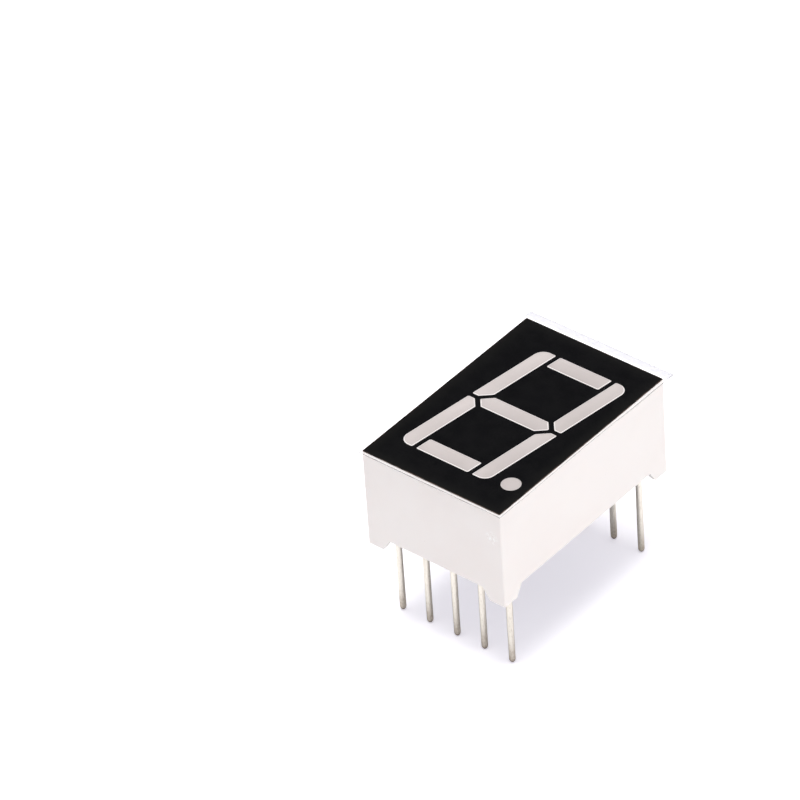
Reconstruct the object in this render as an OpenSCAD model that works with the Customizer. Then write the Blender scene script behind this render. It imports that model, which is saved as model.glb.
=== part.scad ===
// Seven segment LED display: one 14.2 mm digit with a decimal point, for through-hole mounting.
// The origin is the centre of the pin grid, in the plane that the four feet stand on.
// +Z points out of the face and +Y to the top of the digit. All sizes are in millimetres.

/* [Housing] */
// Width of the housing, across the digit
body_w = 12.6; // [11.4:0.1:16]
// Length of the housing, up the digit
body_l = 19.0; // [17.1:0.1:24]
// Height from the feet to the face
body_h = 8.5; // [6:0.1:12]
// Radius of the upright outer corners
corner_r = 0.12; // [0.1:0.02:0.6]
// Thickness of the skirt wall round the circuit board
skirt_t = 0.5; // [0.35:0.05:0.5]
// Radius of the upright corners inside the skirt
skirt_r = 0.2; // [0.1:0.05:0.4]
// Height of the feet below the skirt's rim
foot_h = 1.0; // [0.5:0.1:2]
// Length of a foot along each side, where it stands
foot_len = 1.4; // [0.8:0.1:3]
// Length of the slope from a foot up to the rim
foot_slope = 0.6; // [0.2:0.1:1.5]

/* [Digit] */
// Height of the digit over its outer edges
digit_h = 14.2; // [12.5:0.1:15.5]
// Width of the digit before it leans
digit_w = 8.14; // [7.2:0.02:9]
// Width of the four upright bars
upright_w = 1.34; // [1:0.02:1.6]
// Height of the three level bars
level_h = 1.42; // [1:0.02:1.6]
// Gap between neighbouring windows
bar_gap = 0.36; // [0.24:0.02:0.6]
// Lean of the digit in degrees
lean = 8; // [0:1:10]
// Radius at the four outer corners of the digit
digit_r = 0.85; // [0.3:0.05:1]
// Radius at all the other corners of the windows
nick_r = 0.12; // [0.05:0.01:0.18]
// Diameter of the decimal point's window
dot_d = 1.5; // [1.1:0.05:1.7]
// Gap between the digit and the decimal point
dot_gap = 0.8; // [0.5:0.05:0.95]
// How far the digit's middle lies above the housing's
digit_up = 0.12; // [0:0.02:0.2]

/* [Face] */
// Thickness of the black mask
mask_t = 0.03; // [0.02:0.01:0.1]
// Margin from the housing's edge to the mask
mask_margin = 0.02; // [0.01:0.005:0.08]
// How far the windows are printed off the wells towards the right, and as far towards the bottom
mask_slip = 0.04; // [0:0.01:0.04]
// White rim of the housing that shows inside each window
rim_w = 0.08; // [0.04:0.01:0.15]
// Thickness of the protective film
film_t = 0.06; // [0.03:0.01:0.15]
// Mean overhang of the film past the long sides
film_side = 0.25; // [0.1:0.01:0.6]
// Mean overhang of the film past the short sides
film_end = 0.55; // [0.1:0.01:1]
// How far the film is stuck off centre towards the right
film_shift_x = 0.07; // [0:0.01:0.2]
// How far the film is stuck off centre towards the top
film_shift_y = 0.28; // [0:0.01:0.5]
// How far the film is turned, in degrees
film_turn = 0.2; // [-1.5:0.1:1.5]

/* [Board] */
// Thickness of the circuit board
board_t = 1.0; // [0.6:0.1:1.6]
// Gap between the board's edge and the skirt
board_gap = 0.15; // [0.05:0.01:0.18]
// Thickness of the copper, which lies flush in both faces
copper_t = 0.05; // [0.03:0.01:0.1]
// Width of a copper track
track_w = 0.3; // [0.2:0.02:0.4]
// Width of the wide track on the board's back
rear_track_w = 0.9; // [0.5:0.05:1.1]
// How far that track swings out, on the far side of each post
rear_swing = 1.6; // [1.2:0.1:2]
// Diameter of the copper pad round a pin
pad_d = 1.06; // [0.9:0.02:1.1]
// Diameter of the locating posts
post_d = 1.0; // [0.7:0.05:1.2]
// Diameter of the posts' staked heads
post_head_d = 1.3; // [1.25:0.05:1.5]
// Height of the posts' staked heads
post_head_h = 0.2; // [0.1:0.05:0.3]
// Distance of each post from the digit's middle line
post_x = 1.2; // [0.9:0.05:1.3]
// Distance of each post's middle from the level bar beside it
post_inset = 0.78; // [0.7:0.02:1]

/* [Pins] */
// Distance from the outer pins to the housing's long sides, which leaves a pitch of 2.54
pin_side = 1.22; // [1.1:0.01:1.5]
// Distance from a row of pins to the housing's short side, which leaves the rows 15.24 apart
pin_end = 1.88; // [1.7:0.01:2.2]
// Diameter of a pin below the feet
pin_d = 0.5; // [0.4:0.02:0.56]
// Length of the pins below the feet
pin_free = 6.95; // [2:0.05:15]
// Thickness of the tin on a pin, which thins out from the feet up to the board
tin_t = 0.02; // [0.01:0.005:0.04]
// Height of the solder cone round a pin
solder_h = 0.35; // [0.2:0.05:0.45]
// Thickness of the solder round the pin at the cone's tip
solder_rim = 0.05; // [0.03:0.01:0.1]

/* [Potting] */
// Thickness of the potting over the back of the board
potting_t = 0.6; // [0.5:0.05:1]
// Depth of the potting below the skirt's rim, away from its edges
potting_sink = 0.5; // [0.4:0.05:1]
// Width of the meniscus along the skirt
meniscus_w = 0.9; // [0.5:0.05:1.2]
// Distance that the meniscus stays short of the rim
rim_margin = 0.05; // [0.02:0.01:0.15]
// Radius of the collar of potting round a pin
collar_r = 0.4; // [0.2:0.05:0.45]

/* [Wells] */
// How much a light well narrows from the face to the board
well_waist = 0.72; // [0.65:0.01:0.95]
// Thickness of the housing left between a hollow and the wells beside it
core_wall = 0.7; // [0.5:0.05:1]
// Thickness of the housing left above a hollow
core_roof = 1.2; // [0.8:0.1:2]

/* [Chips] */
// Side of an LED chip
chip_w = 0.24; // [0.2:0.01:0.3]
// Height of an LED chip
chip_h = 0.2; // [0.1:0.01:0.3]
// Side of the copper pad under a chip
chip_pad = 0.4; // [0.32:0.01:0.44]
// Side of the copper pad that a bond wire lands on
landing_pad = 0.24; // [0.2:0.01:0.3]
// Diameter of a bond wire
wire_d = 0.05; // [0.03:0.005:0.06]
// Distance from a chip to the landing of its wire
wire_span = 0.46; // [0.44:0.01:0.5]
// Diameter of the ball that joins a wire to its chip
ball_d = 0.1; // [0.08:0.01:0.14]
// Thickness of that ball
ball_h = 0.04; // [0.02:0.01:0.06]

/* [Clearances] */
// Radial gap between a pin and its hole in the board
pin_hole_gap = 0.03; // [0.02:0.01:0.08]
// Radial gap between a post and its hole in the board
post_hole_gap = 0.05; // [0.03:0.01:0.1]

/* [Hidden] */
$fn = 48;
BARS = ["a", "b", "c", "d", "e", "f", "g", "dot"];
PIN_COUNT = 10;
ROW_PINS = PIN_COUNT / 2;
function light_node(i) = i < 7 ? str("light_bar_", BARS[i]) : "decimal_dot";
function chip_node(i) = str("led_chip_", BARS[i]);
function wire_node(i) = str("bond_wire_", BARS[i]);
function pin_node(n) = str("pin_", n);
BAR_IDS = [0 : len(BARS) - 1];
PIN_IDS = [1 : PIN_COUNT];

// Heights above the feet
face_z = body_h;
housing_top = face_z - mask_t;
potting_z = foot_h + potting_sink;
board_rear = potting_z + potting_t;
board_front = board_rear + board_t;
well_depth = housing_top - board_front;
meniscus_h = potting_sink - rim_margin;

// Inside of the skirt, and the board that lies in it
skirt_w = body_w - 2 * skirt_t;
skirt_l = body_l - 2 * skirt_t;
board_w = skirt_w - 2 * board_gap;
board_l = skirt_l - 2 * board_gap;

// Where the four slanting gaps at each side of the middle bar meet
knot_x = digit_w / 2 - upright_w / 2;
dot_y = (dot_d - digit_h) / 2;
dot_x = digit_w / 2 + dot_y * tan(lean) + dot_gap + dot_d / 2;
pin_r = pin_d / 2;
pin_pitch = (body_w - 2 * pin_side) / (ROW_PINS - 1);
row_gap = body_l - 2 * pin_end;
post_y = digit_h / 2 - level_h - post_inset;
cut = 1; // how far a cutting solid runs past the face it opens

// ---------------------------------------------------------------- outlines

// A point of the upright digit about its own middle, moved to where the leaning digit has it.
function lean_over(p) = [p[0] + p[1] * tan(lean), p[1] + digit_up];

// Points of the arc that rounds the corner at b, between a and c.
function rounded_corner(a, b, c, r) =
    let (u = (a - b) / norm(a - b), v = (c - b) / norm(c - b),
         half = acos(u * v) / 2,
         centre = b + (u + v) / norm(u + v) * r / sin(half),
         p = b + u * r / tan(half) - centre,
         q = b + v * r / tan(half) - centre,
         start = atan2(p[1], p[0]),
         turn = (atan2(q[1], q[0]) - start + 540) % 360 - 180,
         steps = ceil(8 * r) + 2)
    [for (i = [0 : steps]) centre + r * [cos(start + turn * i / steps), sin(start + turn * i / steps)]];

function rounded(points, radii) =
    let (n = len(points))
    [for (i = [0 : n - 1])
        each rounded_corner(points[(i + n - 1) % n], points[i], points[(i + 1) % n], radii[i])];

// Bar b, the upper right one, in the upright digit, with its edges taken in by inset.
function upright_bar(inset) =
    let (x_in = digit_w / 2 - upright_w + inset, x_out = digit_w / 2 - inset,
         y_low = bar_gap / 2 + inset, y_top = digit_h / 2 - inset,
         slant = knot_x + (bar_gap / 2 + inset) * sqrt(2))
    [[x_out, y_low], [x_out, y_top], [x_in, y_top], [x_in, slant - x_in], [slant - y_low, y_low]];

// Bar a, the top one.
function top_bar(inset) =
    let (x = digit_w / 2 - upright_w - bar_gap - inset,
         y_top = digit_h / 2 - inset, y_low = digit_h / 2 - level_h + inset)
    [[x, y_low], [x, y_top], [-x, y_top], [-x, y_low]];

// Bar g, the middle one, with a point at each end.
function middle_bar(inset) =
    let (y = level_h / 2 - inset, tip = knot_x - (bar_gap / 2 + inset) * sqrt(2))
    [[tip, 0], [tip - y, y], [y - tip, y], [-tip, 0], [y - tip, -y], [tip - y, -y]];

// Which side of the digit each bar is on: right or left, upper or lower.
MIRRORS = [[1, 1], [1, 1], [1, -1], [1, -1], [-1, -1], [-1, 1], [1, 1]];
function is_level(i) = i == 0 || i == 3;
function corners_of(i, inset) =
    is_level(i) ? top_bar(inset) : i == 6 ? middle_bar(inset) : upright_bar(inset);

function bar_outline(i, inset) =
    let (nick = max(nick_r - inset, nick_r / 4), points = corners_of(i, inset), m = MIRRORS[i],
         radii = is_level(i) || i == 6 ? [for (p = points) nick]
               : [nick, digit_r - inset, nick, nick, nick])
    rounded([for (p = points) lean_over([p[0] * m[0], p[1] * m[1]])], radii);

// The middle of each bar, and of the decimal point.
function bar_centre(i) =
    i == 7 ? [dot_x, dot_y + digit_up]
    : i == 6 ? [0, digit_up]
    : is_level(i) ? lean_over([0, MIRRORS[i][1] * (digit_h - level_h) / 2])
    : lean_over([MIRRORS[i][0] * knot_x, MIRRORS[i][1] * (digit_h + bar_gap) / 4]);

// Direction from each chip to the landing of its wire, which lies nearer the pin that it serves.
WIRE_TURN = [0, 90, 270, 180, 270, 90, 180, 0];
function toward(i) = [cos(WIRE_TURN[i]), sin(WIRE_TURN[i])];
function chip_at(i) = bar_centre(i) - toward(i) * wire_span / 2;
function landing_at(i) = bar_centre(i) + toward(i) * wire_span / 2;

// Pins 1 to 5 run along the bottom from the left, and pins 6 to 10 along the top from the right.
function pin_at(n) =
    n <= ROW_PINS ? [(n - (ROW_PINS + 1) / 2) * pin_pitch, -row_gap / 2]
    : [(PIN_COUNT + 1 - n - (ROW_PINS + 1) / 2) * pin_pitch, row_gap / 2];

POSTS = [[-post_x, digit_up + post_y], [post_x, digit_up - post_y]];

module window(i, inset = 0) {
    if (i == 7) translate(bar_centre(i)) circle(d = dot_d - 2 * inset);
    else polygon(bar_outline(i, inset));
}

module slab(w, l, r, z, h) {
    translate([0, 0, z]) linear_extrude(h) {
        square([w - 2 * r, l], center = true);
        square([w, l - 2 * r], center = true);
        for (x = [r - w / 2, w / 2 - r], y = [r - l / 2, l / 2 - r]) translate([x, y]) circle(r);
    }
}

module at_pins(z = 0) {
    for (n = PIN_IDS) translate([each pin_at(n), z]) children();
}

module at_posts(z = 0) {
    for (p = POSTS) translate([each p, z]) children();
}

// ---------------------------------------------------------------- housing

// The funnel of a light well, from the board up to the top of the housing.
module well(i) {
    c = bar_centre(i);
    translate([each c, board_front])
        if (i == 7) {
            r = dot_d / 2 - rim_w;
            cylinder(h = well_depth, r1 = r * well_waist, r2 = r);
        } else {
            linear_extrude(height = well_depth, scale = 1 / well_waist)
                polygon([for (p = bar_outline(i, rim_w)) (p - c) * well_waist]);
        }
}

// The space between the feet of two opposite sides, drawn along X.
module foot_gap(side, across) {
    low = side / 2 - foot_len;
    high = low - foot_slope;
    rotate([90, 0, 0]) translate([0, 0, -across / 2 - cut]) linear_extrude(across + 2 * cut)
        polygon([[-low, -cut], [-low, 0], [-high, foot_h], [high, foot_h], [low, 0], [low, -cut]]);
}

// The hollow inside each loop of the digit, open to the board, which keeps the moulding's walls even.
module core(side) {
    x = digit_w / 2 - upright_w - core_wall;
    low = level_h / 2 + core_wall;
    high = post_y - (post_d + core_wall) / 2;
    outline = [[x, low], [x, high], [-x, high], [-x, low]];
    translate([0, 0, board_front - cut]) linear_extrude(well_depth - core_roof + cut)
        polygon([for (p = outline) lean_over(p * side)]);
}

module reflector_housing() color("#f4f1ee") {
    difference() {
        slab(body_w, body_l, corner_r, 0, housing_top);
        slab(skirt_w, skirt_l, skirt_r, -cut, board_front + cut);
        foot_gap(body_w, body_l);
        rotate(90) foot_gap(body_l, body_w);
        for (i = BAR_IDS) well(i);
        for (side = [-1, 1]) core(side);
    }
    at_posts(board_rear) cylinder(h = board_t, d = post_d);
    at_posts(board_rear - post_head_h) cylinder(h = post_head_h, d = post_head_d);
}

module face_mask() color("#141416") {
    difference() {
        slab(body_w - 2 * mask_margin, body_l - 2 * mask_margin, corner_r - mask_margin,
             housing_top, mask_t);
        translate([mask_slip, -mask_slip, housing_top - cut]) linear_extrude(mask_t + 2 * cut)
            for (i = BAR_IDS) window(i);
    }
}

module protective_film() color("#eef0f8", 0.25) {
    translate([film_shift_x, film_shift_y, face_z]) rotate(film_turn) linear_extrude(film_t)
        square([body_w + 2 * film_side, body_l + 2 * film_end], center = true);
}

// ---------------------------------------------------------------- light bars and chips

module on_board(i) {
    translate([each bar_centre(i), board_front]) rotate(WIRE_TURN[i]) children();
}

module chip_block() {
    translate([-wire_span / 2, 0, chip_h / 2]) cube([chip_w, chip_w, chip_h], center = true);
}

// A ball on the chip, an arch over to the landing, and a leg down to it.
module wire_loop() {
    translate([-wire_span / 2, 0, chip_h]) cylinder(h = ball_h, d = ball_d);
    translate([0, 0, chip_h + ball_h]) rotate([90, 0, 0]) rotate_extrude(angle = 180)
        translate([wire_span / 2, 0]) circle(d = wire_d);
    translate([wire_span / 2, 0, 0]) cylinder(h = chip_h + ball_h, d = wire_d);
}

module light_bar(i) color("#cdc4c3") {
    difference() {
        well(i);
        on_board(i) chip_block();
        on_board(i) wire_loop();
    }
}

module led_chip(i) color("#c8a24a") on_board(i) chip_block();

module bond_wire(i) color("#e6c35c") on_board(i) wire_loop();

// ---------------------------------------------------------------- circuit board

// A flat band of width w along a line of points, square at its ends.
function unit(v) = v / norm(v);
function side_step(points, k, w) =
    let (n = len(points) - 1,
         before = unit(points[max(k, 1)] - points[max(k, 1) - 1]),
         after = unit(points[min(k, n - 1) + 1] - points[min(k, n - 1)]),
         mean = unit(before + after), bend = mean * before)
    [-mean[1], mean[0]] * w / 2 / bend;
function band(points, w) =
    concat([for (k = [0 : len(points) - 1]) points[k] - side_step(points, k, w)],
           [for (k = [len(points) - 1 : -1 : 0]) points[k] + side_step(points, k, w)]);

// Tracks that join each landing pad to its pin.
LANDING_TRACKS = [
    [landing_at(0), pin_at(7)],
    [landing_at(1), pin_at(6)],
    [landing_at(2), pin_at(4)],
    [landing_at(3), pin_at(2)],
    [landing_at(4), pin_at(1)],
    [landing_at(5), pin_at(9)],
    [landing_at(6), [pin_at(10)[0], 0], pin_at(10)],
    [landing_at(7), pin_at(5)]];

// The common track joins pins 3 and 8 to the pads under all eight chips.
CHIP_TRACKS = [
    [pin_at(8), chip_at(0), chip_at(6), chip_at(3), pin_at(3)],
    [chip_at(5), chip_at(1)],
    [chip_at(4), chip_at(2), [chip_at(7)[0], chip_at(2)[1]], chip_at(7)]];

// The wide track on the back swings to the far side of both posts.
REAR_STEPS = 24;
function swing(t) = [rear_swing * sin(180 * t), row_gap / 2 * t];
REAR_TRACK = [for (k = [0 : REAR_STEPS]) swing(1 - 2 * k / REAR_STEPS)];

module front_copper(h) {
    linear_extrude(h) {
        for (t = LANDING_TRACKS) polygon(band(t, track_w));
        for (t = CHIP_TRACKS) polygon(band(t, track_w));
        for (n = PIN_IDS) translate(pin_at(n)) circle(d = pad_d);
        for (i = BAR_IDS) {
            translate(chip_at(i)) rotate(WIRE_TURN[i]) square(chip_pad, center = true);
            translate(landing_at(i)) rotate(WIRE_TURN[i]) square(landing_pad, center = true);
        }
    }
}

module rear_copper(h) {
    linear_extrude(h) {
        for (n = PIN_IDS) translate(pin_at(n)) circle(d = pad_d);
        polygon(band(REAR_TRACK, rear_track_w));
    }
}

module board_blank() {
    slab(board_w, board_l, skirt_r, board_rear, board_t);
}

module board_holes() {
    at_pins(board_rear - cut) cylinder(h = board_t + 2 * cut, r = pin_r + pin_hole_gap);
    at_posts(board_rear - cut) cylinder(h = board_t + 2 * cut, d = post_d + 2 * post_hole_gap);
}

module front_tracks() color("#c77f45") difference() {
    intersection() {
        translate([0, 0, board_front - copper_t]) front_copper(copper_t);
        board_blank();
    }
    board_holes();
}

module rear_tracks() color("#8f5f3c") difference() {
    intersection() {
        translate([0, 0, board_rear]) rear_copper(copper_t);
        board_blank();
    }
    board_holes();
}

module circuit_board() color("#1b2130") difference() {
    board_blank();
    translate([0, 0, board_front - copper_t]) front_copper(copper_t + cut);
    translate([0, 0, board_rear - cut]) rear_copper(copper_t + cut);
    board_holes();
}

// ---------------------------------------------------------------- pins and potting

// A pin in its place along Z: its round tip, its tinned free length, and its root up to the board's front.
module pin_wire() {
    translate([0, 0, pin_r - pin_free]) {
        sphere(pin_r);
        cylinder(h = pin_free - pin_r, r = pin_r);
    }
    cylinder(h = board_front, r1 = pin_r, r2 = pin_r - tin_t);
}

module pin(n) color("#b9b3a6") translate(pin_at(n)) pin_wire();

module solder_cone() {
    translate([0, 0, board_rear - solder_h])
        cylinder(h = solder_h, r1 = pin_r + solder_rim, r2 = pad_d / 2);
}

module solder_fillets() color("#a8a8a4") difference() {
    at_pins() solder_cone();
    at_pins() pin_wire();
}

// The hollow over the potting, whose rounded edges leave the meniscus along the skirt.
module potting_hollow() {
    r = (pow(meniscus_w, 2) + pow(meniscus_h, 2)) / (2 * meniscus_h);
    w = skirt_w + 2 * (r - meniscus_w);
    l = skirt_l + 2 * (r - meniscus_w);
    x = w / 2 - r;
    y = l / 2 - r;
    z = potting_z - r;
    slab(w, l, r, z - cut, cut);
    translate([-x, -y, z - cut]) cube([2 * x, 2 * y, r + cut]);
    for (s = [-1, 1]) {
        translate([s * x, 0, z]) rotate([90, 0, 0]) cylinder(h = 2 * y, r = r, center = true);
        translate([0, s * y, z]) rotate([0, 90, 0]) cylinder(h = 2 * x, r = r, center = true);
        for (t = [-1, 1]) translate([s * x, t * y, z]) sphere(r);
    }
}

// The collar of potting that climbs a pin.
module collar() {
    translate([0, 0, potting_z]) mirror([0, 0, 1]) rotate_extrude() difference() {
        square([pin_r + collar_r, collar_r]);
        translate([pin_r + collar_r, collar_r]) circle(collar_r);
    }
}

module rear_potting() color("#2c3548", 0.6) difference() {
    intersection() {
        slab(skirt_w, skirt_l, skirt_r, potting_z - meniscus_h, board_front - potting_z + meniscus_h);
        union() {
            difference() {
                translate([0, 0, foot_h]) linear_extrude(board_front)
                    square([body_w, body_l], center = true);
                potting_hollow();
            }
            at_pins() collar();
        }
    }
    slab(board_w, board_l, skirt_r, board_rear, board_t + cut);
    at_pins() pin_wire();
    at_pins() solder_cone();
    at_posts(board_rear - post_head_h) cylinder(h = post_head_h, d = post_head_d);
}

reflector_housing();
face_mask();
protective_film();
circuit_board();
front_tracks();
rear_tracks();
solder_fillets();
rear_potting();
for (i = BAR_IDS) light_bar(i);
for (i = BAR_IDS) led_chip(i);
for (i = BAR_IDS) bond_wire(i);
for (n = PIN_IDS) pin(n);
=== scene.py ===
"""Looks of a seven segment display: a white moulded housing with a black face and grey light bars,
a loose protective film, ten tinned pins, and clear potting over the back of its board.

Every length in this file is in millimetres and is turned into metres where a mesh is written.
"""

import logging
import math
from dataclasses import dataclass
from enum import Enum
from typing import Callable, Sequence, Union

import bmesh
import bpy
import numpy as np
from mathutils import Matrix, Vector


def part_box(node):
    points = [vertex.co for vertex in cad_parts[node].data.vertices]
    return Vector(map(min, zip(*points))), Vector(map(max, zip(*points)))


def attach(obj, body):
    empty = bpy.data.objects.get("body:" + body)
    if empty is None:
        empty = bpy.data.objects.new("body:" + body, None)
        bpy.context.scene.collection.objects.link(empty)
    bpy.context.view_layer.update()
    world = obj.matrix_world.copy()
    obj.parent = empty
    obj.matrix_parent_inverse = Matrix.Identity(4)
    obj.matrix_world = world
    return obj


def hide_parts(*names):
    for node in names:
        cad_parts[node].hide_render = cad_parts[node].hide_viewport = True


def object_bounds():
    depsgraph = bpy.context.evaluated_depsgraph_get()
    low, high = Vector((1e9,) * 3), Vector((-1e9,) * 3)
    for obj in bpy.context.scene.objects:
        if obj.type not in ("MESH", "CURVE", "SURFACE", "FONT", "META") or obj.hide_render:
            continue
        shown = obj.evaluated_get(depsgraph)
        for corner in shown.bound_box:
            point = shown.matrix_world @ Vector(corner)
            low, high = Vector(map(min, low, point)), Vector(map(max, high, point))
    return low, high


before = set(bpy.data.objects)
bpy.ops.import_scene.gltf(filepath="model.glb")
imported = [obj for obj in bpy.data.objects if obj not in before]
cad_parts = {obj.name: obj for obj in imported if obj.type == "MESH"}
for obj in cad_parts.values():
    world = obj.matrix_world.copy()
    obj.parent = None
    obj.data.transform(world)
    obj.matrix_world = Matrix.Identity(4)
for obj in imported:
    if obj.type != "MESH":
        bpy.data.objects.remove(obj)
CAD_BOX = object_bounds()

LOG = logging.getLogger("display")
MM = 0.001
PINS = range(1, 11)
BARS = ("a", "b", "c", "d", "e", "f", "g")
LEAN = math.tan(math.radians(8.0))

Colour = tuple[float, float, float]
Value = Union["Signal", float, tuple[float, ...]]
Inputs = dict[str | int, Value]
Array = np.ndarray
Pieces = list[bpy.types.Object]


class Slot(Enum):
    """The material slots of the part's record."""

    HOUSING = "housing_white"
    FILM = "film_clear"
    SOLDER = "solder"
    POTTING = "potting_clear"
    PIN = "tinned_pin"


# ---- shader graphs


def _math(operation: str, swapped: bool = False) -> Callable[..., "Signal"]:
    """Makes a method of Signal that adds a Math node.

    Args:
        operation: What the node does.
        swapped: Whether the other value comes first.

    Returns:
        The method.
    """

    def method(self: "Signal", other: Value = 0.0) -> "Signal":
        left, right = (other, self) if swapped else (self, other)
        return self.graph.node("Math", {0: left, 1: right}, {"operation": operation})

    return method


class Signal:
    """One shader socket that takes part in arithmetic: each operator adds a Math node."""

    __add__, __radd__ = _math("ADD"), _math("ADD", swapped=True)
    __sub__, __rsub__ = _math("SUBTRACT"), _math("SUBTRACT", swapped=True)
    __mul__, __rmul__ = _math("MULTIPLY"), _math("MULTIPLY", swapped=True)
    __abs__ = _math("ABSOLUTE")
    at_least = _math("MAXIMUM")

    def __init__(self, graph: "Graph", socket: bpy.types.NodeSocket) -> None:
        """Wraps an output socket of a graph."""
        self.graph = graph
        self.socket = socket

    def step(self, low: float, high: float) -> "Signal":
        """A smooth step from 0 at low to 1 at high, or down from 1 where high is the lower one.

        Args:
            low: The value at which the result is 0.
            high: The value at which the result is 1.

        Returns:
            The stepped value.
        """
        start, end = (0.0, 1.0) if low < high else (1.0, 0.0)
        limits = {"From Min": min(low, high), "From Max": max(low, high)}
        inputs = {"Value": self, **limits, "To Min": start, "To Max": end}
        return self.graph.node("MapRange", inputs, {"interpolation_type": "SMOOTHSTEP"})


class Graph:
    """The node tree of one material or world."""

    def __init__(self, tree: bpy.types.NodeTree) -> None:
        """Takes a tree over and empties it."""
        self.tree = tree
        tree.nodes.clear()

    def node(
        self,
        kind: str,
        inputs: Inputs | None = None,
        settings: dict[str, object] | None = None,
        output: int | str = 0,
    ) -> Signal:
        """Adds one node.

        Args:
            kind: The node's type, without ShaderNode in front.
            inputs: A value or a link for each named or numbered socket.
            settings: The node's own properties, which are set first.
            output: The socket that the result stands for.

        Returns:
            The output socket.
        """
        made = self.tree.nodes.new(f"ShaderNode{kind}")
        for key, setting in (settings or {}).items():
            setattr(made, key, setting)
        for key, value in (inputs or {}).items():
            if isinstance(value, Signal):
                self.tree.links.new(value.socket, made.inputs[key])
            else:
                made.inputs[key].default_value = value
        return Signal(self, made.outputs[output] if made.outputs else made.inputs[0])

    def place(self, per_mm: tuple[float, float, float] = (1.0, 1.0, 1.0)) -> Signal:
        """The place on the piece, in millimetres times a factor for each axis.

        Args:
            per_mm: How much the pattern's own coordinate grows in a millimetre of each axis.

        Returns:
            The scaled place as a vector.
        """
        place = self.node("TexCoord", output="Object")
        scale = tuple(s / MM for s in per_mm)
        return self.node("Mapping", {"Vector": place, "Scale": scale})

    def along(self, axis: str) -> Signal:
        """One coordinate of the place on the piece, in millimetres."""
        return self.node("SeparateXYZ", {0: self.place()}, output=axis)

    def past(self, half_width: float, half_length: float) -> Signal:
        """How far the place lies outside a rectangle about the origin, in millimetres.

        Args:
            half_width: Half the rectangle's size along X.
            half_length: Half its size along Y.

        Returns:
            The distance from the nearest side's line, which is negative inside.
        """
        return (abs(self.along("X")) - half_width).at_least(abs(self.along("Y")) - half_length)

    def noise(
        self,
        per_mm: float | tuple[float, float, float],
        detail: float = 3.0,
        roughness: float = 0.5,
    ) -> Signal:
        """Cloudy noise from 0 to 1.

        Args:
            per_mm: Number of blobs in a millimetre, alike or for each axis.
            detail: Number of finer layers.
            roughness: How strong the finer layers are.

        Returns:
            The noise value.
        """
        place = self.place(per_mm if isinstance(per_mm, tuple) else (per_mm,) * 3)
        inputs = {"Vector": place, "Scale": 1.0, "Detail": detail, "Roughness": roughness}
        return self.node("TexNoise", inputs)

    def specks(self, per_mm: float, size: float) -> Signal:
        """Scattered round specks, 1 in their middle and 0 between them.

        Args:
            per_mm: Number of cells in a millimetre, with a speck in each.
            size: Radius of a speck as a share of its cell.

        Returns:
            The speck value.
        """
        place = self.place((per_mm,) * 3)
        return self.node("TexVoronoi", {"Vector": place, "Scale": 1.0}).step(size, 0.0)

    def blend(self, share: Value, first: Value, second: Value) -> Signal:
        """Mixes two colours.

        Args:
            share: How much of the second colour shows.
            first: The first colour.
            second: The second colour.

        Returns:
            The mixed colour.
        """
        paints = [(*p, 1.0) if isinstance(p, tuple) else p for p in (first, second)]
        inputs = {0: share, 6: paints[0], 7: paints[1]}
        return self.node("Mix", inputs, {"data_type": "RGBA"}, output=2)

    def bump(self, height: Value, depth: float, normal: Signal | None = None) -> Signal:
        """A normal that is tilted by a height.

        Args:
            height: The height from 0 to 1.
            depth: How high a height of 1 stands.
            normal: A normal to add this one to.

        Returns:
            The tilted normal.
        """
        inputs: Inputs = {"Height": height, "Distance": depth * MM}
        if normal is not None:
            inputs["Normal"] = normal
        return self.node("Bump", inputs)

    def principled(self, inputs: Inputs) -> Signal:
        """Adds a Principled shader with these inputs."""
        return self.node("BsdfPrincipled", inputs)

    def surface(self, shader: Signal) -> None:
        """Ends the graph with a surface output."""
        self.node("OutputMaterial", {"Surface": shader})


@dataclass(frozen=True)
class Finish:
    """One finish of the display, which becomes one material."""

    name: str = "finish"

    def shade(self, graph: Graph) -> Signal:
        """Builds the finish in a graph and returns its shader."""
        raise NotImplementedError

    def material(self) -> bpy.types.Material:
        """The finish as a material, which is made when it is first asked for."""
        made = bpy.data.materials.get(self.name)
        if made is None:
            made = bpy.data.materials.new(self.name)
            made.use_nodes = True
            graph = Graph(made.node_tree)
            graph.surface(self.shade(graph))
        return made


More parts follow.
